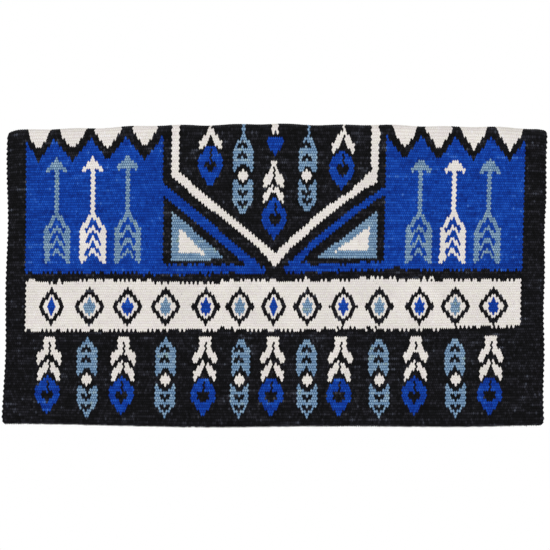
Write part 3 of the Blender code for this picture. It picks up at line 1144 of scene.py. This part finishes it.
@dataclass(frozen=True)
class DiamondBand:
    """The cream band with its 13 diamonds: a black outline, a cream ring and a blue core."""

    left: float = -401.0
    right: float = 396.0
    # Its long edges, which the weaver's beat has pushed about
    top: Outline = (
        (-392, 251.6), (-340, 252.2), (-300, 250.6), (-238, 248.6), (-195, 252.2),
        (-142, 253.6), (-80, 251.8), (-27, 249.8), (-8, 248.2), (21, 250.4),
        (50, 248), (85, 249.8), (107, 247.8), (165, 245.8), (203, 247.6),
        (280, 248.3), (318, 249.4), (376, 249.6),
    )
    foot: Outline = (
        (376, 325.6), (318, 326), (241, 328.2), (203, 328.2), (126, 326.2),
        (50, 328.4), (-8, 328.6), (-85, 327.1), (-142, 327.8), (-240, 329.6),
        (-315, 329.8), (-392, 328.4),
    )
    ragged: float = 3.0
    middle_rib: int = 69
    half_height: float = 31.0
    # Where each stands and its half width: a hand weaver's spacing, closest in the middle
    diamonds: tuple[Place, ...] = (
        (-358.9, 22.8), (-298.2, 26.2), (-236.4, 26.2), (-173.5, 25.4), (-110.6, 24),
        (-54.5, 23.8), (-0.6, 22), (52.9, 24.2), (109.2, 23.4), (167.4, 24.6),
        (231.6, 23.8), (289.2, 25.4), (353, 25.4),
    )

    # Of the outlines and the rings: the width and the height, as shares of the diamond's, and the
    # width halfway up
    OUTLINE = (1, 1, 0.56)
    RING = (0.67, 0.66, 0.57)
    # How much of its side tips each lozenge lacks
    BLUNT = 1.2
    # The core's right half, in a diamond of the width that is given
    CORE = (
        (0, -14.2), (3, -10), (7.2, -4.6), (8.2, 0), (7.2, 4.6), (5.3, 8.6), (0, 14.2),
    )
    CORE_FOR = 25.0

    def lozenges(self, wide_share: float, high_share: float, bulge: float) -> Motif:
        """The black outline or the cream ring of every diamond.

        Args:
            wide_share: its width, as a share of the diamond's.
            high_share: its height, as a share of the diamond's.
            bulge: how wide it is halfway up, as a share of its width.

        Returns:
            All of them, filled.
        """
        high, motifs = self.half_height * high_share, []
        for x, wide in self.diamonds:
            out = wide * wide_share
            upper = ((0, -high), (bulge * out, -high / 2), (out - self.BLUNT, -self.BLUNT))
            motifs.append(self.in_place(x, upper + tuple((a, -b) for a, b in reversed(upper))))
        return together(motifs)

    def in_place(self, x: float, half: Outline) -> Motif:
        """A part of one diamond, from the outline of its right half round the diamond's middle."""
        return mirrored(half).at(*beside(x, self.middle_rib, on_float=False))

    def patches(self) -> list[Patch]:
        """Works out what is woven here.

        Returns:
            The runs of weft, in the order in which each covers what went before.
        """
        names = tuple(f"diamond_{i + 1:02d}" for i in range(len(self.diamonds)))
        top = ((self.left, self.top[0][1]), *self.top, (self.right, self.top[-1][1]))
        foot = ((self.right, self.foot[0][1]), *self.foot, (self.left, self.foot[-1][1]))
        band = Motif((top + foot,), ragged=self.ragged)
        patches = [
            Patch("diamond_band", Yarn.CREAM, band, ("diamond_band",)),
            Patch("diamond_outlines", Yarn.BLACK, self.lozenges(*self.OUTLINE), names),
            Patch("diamond_rings", Yarn.CREAM, self.lozenges(*self.RING), names),
        ]
        for i, (x, wide) in enumerate(self.diamonds):
            yarn = Yarn.LIGHT_BLUE if i % 2 else Yarn.ROYAL
            core = tuple((a * wide / self.CORE_FOR, depth) for a, depth in self.CORE)
            patches.append(Patch(names[i], yarn, self.in_place(x, core), (names[i],)))
        return patches


@dataclass(frozen=True)
class FeatherBand:
    """The 13 feathers along the hem: by turns cream arms over a blue eye, and a light blue leaf."""

    columns: tuple[float, ...] = (
        -360.2, -298.5, -241.4, -173.8, -109.9, -53, -1.6,
        53.5, 106.8, 168.4, 228.6, 291.4, 349.2,
    )
    # How much higher the arms of each odd column were begun
    risen: tuple[float, ...] = (0, 0, 0, 0, 0, 1.2, 1.2)
    # Which leaf, counted from 0, came out narrower
    slim: int = 2
    # How far the lower arms and the eye stand left of the arms
    lower_aside: float = 0.7
    eye_aside: float = 1.7

    def patches(self) -> list[Patch]:
        """Works out what is woven here.

        Returns:
            The runs of weft, in the order in which each covers what went before.
        """
        arms = Arms(339.5, 369, 384.5, 363, 348.5, 8.9, 358, half_width=18.9, tip_inner=15.8)
        lower_arms = Arms(377.5, 397, 411.5, 389.5, 378, 3.4, 380, tip_inner=14.6)
        eye = Eye(404.8, 424, 441, 467, 427, 448.5)
        ribs = {"peak_ribs": (84, 88), "valley_ribs": (105, 109), "lower_aside": 1}
        leaf = Leaf(340.3, 360.5, 402.8, 387.5, 97, 415.5, 431.5, 449, 470.5, **ribs)
        slim = replace(leaf, half_width=14.4, lower_aside=-1.7)
        odd = tuple(zip(self.columns[::2], self.risen))
        even = [(x, slim if i == self.slim else leaf) for i, x in enumerate(self.columns[1::2])]
        cream = [leaf.cream(x) for x, leaf in even]
        for x, up in odd:
            cream += [arms.cream().at(x, -up), lower_arms.cream().at(x - self.lower_aside, -up)]
        royal = [eye.blue().at(x - self.eye_aside) for x, _ in odd]
        light_blue = [leaf.blue(x) for x, leaf in even]
        marks = [eye.marks().at(x - self.eye_aside) for x, _ in odd]
        marks += [mark for x, leaf in even for mark in leaf.marks(x)]
        ground = ("black_ground",)
        return [
            Patch("feathers_light_blue", Yarn.LIGHT_BLUE, together(light_blue), ground),
            Patch("feathers_royal", Yarn.ROYAL, together(royal), ground),
            Patch("feathers_cream", Yarn.CREAM, together(cream), ground),
            Patch("feather_marks", Yarn.BLACK, together(marks), ground),
        ]


LEFT_FIELD = RoyalField(
    half="left",
    outer=-402.5,
    inner=-183.5,
    teeth=((-382, 17.6), (-327.3, 21.6), (-272.2, 21.6), (-211.8, 20)),
    tooth_foot=33.2,
    peaks=(-357.8, -298.6, -242.6),
    foot=236,
    diagonal=((-183.5, 91.4), (-14.7, 233.4), (-15.5, 239), (-83.9, 238.5), (-150, 240)),
    frame=((-180.5, 112.9), (-45, 226.5), (-180.5, 224.5)),
    triangle=((-166.9, 138), (-79.6, 215.8), (-167, 217)),
    core=((-154.9, 165.5), (-112, 208), (-155.3, 206.8)),
    arrows=(Arrow(-353.2, 2.6), Arrow(-295.7, 2.4), Arrow(-240.2, 2.4, tip=44.6)),
)

RIGHT_FIELD = RoyalField(
    half="right",
    outer=396.5,
    inner=174.7,
    teeth=((372.2, 20.8), (314.2, 20.8), (258.8, 20.8), (203.9, 18.8)),
    tooth_foot=36,
    peaks=(341.4, 285.4, 229.4),
    foot=235,
    diagonal=(
        (174.7, 98.5), (149.9, 114.7), (118.3, 137.3), (86.7, 163.9), (55.1, 190.3), (23.5, 219.1),
        (10.9, 237), (80, 235.4), (136, 233.8), (197, 230), (256, 232),
    ),
    frame=(
        (173.5, 112), (150.2, 126.7), (118.6, 151), (87, 176.7),
        (55.3, 203.9), (40, 222.5), (103.9, 223), (173.5, 219),
    ),
    triangle=((163, 135.5), (66.5, 214.4), (163, 213)),
    core=((149.8, 163.5), (94.5, 203.6), (149.2, 202.8)),
    arrows=(
        Arrow(342.3, -2.2, tip=49.5, barb=26.3),
        Arrow(286.4, -1.2, tip=50.5, barb=26.3),
        Arrow(230.5, -2.2, tip=51, barb=26.3),
    ),
)


@dataclass(frozen=True)
class Blanket:
    """The whole blanket: two sides in the same pattern, woven in one piece over the ridge."""

    cloth: Cloth = Cloth()
    fields: tuple[RoyalField, ...] = (LEFT_FIELD, RIGHT_FIELD)
    centre: CentreField = CentreField()
    diamonds: DiamondBand = DiamondBand()
    feathers: FeatherBand = FeatherBand()

    # How deep a piece may begin and still count as reaching the fold, which leaves it unattached to
    # its side. The next three, which nothing here reads, say where a bend would begin: where the
    # drooping ends of the ridge have their underside, so that the two sides would still meet there
    FOLD_DEPTH = 15.0
    BEND_FROM = -9.6 * MM
    BEND_OUT = 4.5 * MM
    BEND_DOWN = 1.1 * MM
    # The CAD node at the ridge, for which both sides stand
    RIDGE = "ridge_strip"
    # Past every edge
    BEYOND = 500.0

    def patches(self) -> list[Patch]:
        """Works out the pattern of one side.

        Returns:
            The runs of weft, ground first.
        """
        beyond = self.BEYOND
        everything = Motif((box(-beyond, beyond, -beyond, beyond),))
        over_ridge = Motif((box(-beyond, beyond, -beyond, self.FOLD_DEPTH),))
        strips = ("fold_strip_1", "fold_strip_2", self.RIDGE)
        patches = [
            Patch("black_ground", Yarn.BLACK, everything, ("black_ground",)),
            Patch("black_fold", Yarn.BLACK, over_ridge, strips),
        ]
        for field in self.fields:
            patches += field.patches()
        return patches + self.centre.patches() + self.diamonds.patches() + self.feathers.patches()

    def weave_side(self, side: Side, weave: Weave, wool: dict[Yarn, Material]) -> None:
        """Builds and dresses all pieces of one side.

        Args:
            side: which side.
            weave: the floats of the whole cloth.
            wool: the four materials.
        """
        patches = self.patches()
        here = np.sign(weave.v) == side.value
        laid = np.where(here, 0, -1)
        for i, patch in enumerate(patches):
            laid[here & patch.motif.covers(weave.x, np.abs(weave.v), weave.unrest)] = i
        for i, patch in enumerate(patches):
            piece = weave.cut(f"{side.prefix}_{patch.name}_weft", laid == i)
            piece.data.materials.append(wool[patch.yarn])
            self.hang(piece, side, np.abs(weave.v[laid == i]).min())
            nodes = [n if n == self.RIDGE else f"{side.prefix}_{n}" for n in patch.nodes]
            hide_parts(*nodes)
            many = (laid == i).sum(), len(piece.data.polygons)
            log.info("%s: %d floats, %d faces", piece.name, *many)

    def hang(self, piece: Object, side: Side, depth: float) -> None:
        """Lets a piece move with its side, or leaves it unattached, in the CAD frame, where it
        reaches the fold.

        Args:
            piece: the finished piece.
            side: the side that it belongs to.
            depth: the depth at which it begins.
        """
        if depth < self.FOLD_DEPTH:
            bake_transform(piece)
        else:
            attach(piece, side.body)


@dataclass(frozen=True)
class Studio:
    """A pale floor well below the blanket, plain soft light and a camera level with its middle."""

    floor_z: float = -1.1
    floor_size: float = 4.0
    camera_distance: float = 2.0905
    camera_height: float = -0.2313
    lens: float = 85.0
    # How bright the white world is: to the camera, and as light on the blanket
    seen: float = 1.0
    fill: float = 0.55

    # Each lamp's name, place and side in metres, and watts
    LAMPS = (
        ("key", (-0.9, -2.6, 1.3), 1.6, 38.0),
        ("fill", (1.6, -2.4, 0.4), 1.8, 14.0),
        ("back", (0.4, 2.6, 1.2), 2.0, 36.0),
    )

    def light_world(self) -> None:
        """Makes the world: white to the camera, also in a mirror or glass, but a dimmer light."""
        world = bpy.data.worlds.new("studio")
        bpy.context.scene.world = world
        world.use_nodes = True
        tree = world.node_tree
        path = add_node(tree, "ShaderNodeLightPath")
        seen = path.outputs["Is Camera Ray"]
        for name in ("Is Glossy Ray", "Is Transmission Ray"):
            inputs = {0: seen, 1: path.outputs[name]}
            seen = add_node(tree, "ShaderNodeMath", inputs, operation="MAXIMUM").outputs[0]
        inputs = {0: seen, 2: self.fill, 3: self.seen}
        strength = add_node(tree, "ShaderNodeMix", inputs, data_type="FLOAT").outputs[0]
        looks = {"Color": (1.0, 1.0, 1.0, 1.0), "Strength": strength}
        set_inputs(tree, tree.nodes["Background"], looks)

    def build(self) -> None:
        """Makes the world, the floor, the lamps and the camera."""
        self.light_world()
        bpy.ops.object.select_all(action="DESELECT")
        place = (0.0, 0.0, self.floor_z)
        bpy.ops.mesh.primitive_plane_add(size=self.floor_size, location=place)
        floor = bpy.context.object
        floor.name = "floor"
        paint = bpy.data.materials.new("floor_matt_white_paint")
        paint.use_nodes = True
        tree = paint.node_tree
        looks = {"Base Color": linear("F4F4F4"), "Roughness": 0.9}
        set_inputs(tree, tree.nodes["Principled BSDF"], looks)
        floor.data.materials.append(paint)

        for lamp in self.LAMPS:
            self.lamp(*lamp)

        scene = bpy.context.scene
        camera = bpy.data.objects.new("camera", bpy.data.cameras.new("camera"))
        camera.data.lens = self.lens
        camera.location = (0.0, -self.camera_distance, self.camera_height)
        camera.rotation_euler = (math.radians(90), 0.0, 0.0)
        scene.collection.objects.link(camera)
        scene.camera = camera
        scene.view_settings.view_transform = "Standard"

    def lamp(self, name: str, place: tuple[float, float, float], size: float, power: float) -> None:
        """Adds a square soft lamp that faces the blanket.

        Args:
            name: its name.
            place: where it stands, in metres.
            size: its side.
            power: in watts.
        """
        data = bpy.data.lights.new(name, "AREA")
        data.shape, data.size, data.energy = "SQUARE", size, power
        lamp = bpy.data.objects.new(name, data)
        lamp.location = place
        aim = Vector((0.0, 0.0, self.camera_height)) - lamp.location
        lamp.rotation_euler = aim.to_track_quat("-Z", "Y").to_euler()
        bpy.context.scene.collection.objects.link(lamp)


def main() -> None:
    """Builds the blanket and the studio round it."""
    logging.basicConfig(level=logging.INFO, format="%(message)s")
    blanket = Blanket()
    weave = Weave(blanket.cloth)
    wool = {yarn: finish.material(yarn) for yarn, finish in FINISHES.items()}
    for side in Side:
        blanket.weave_side(side, weave, wool)
    Studio().build()


if __name__ == "__main__":
    main()
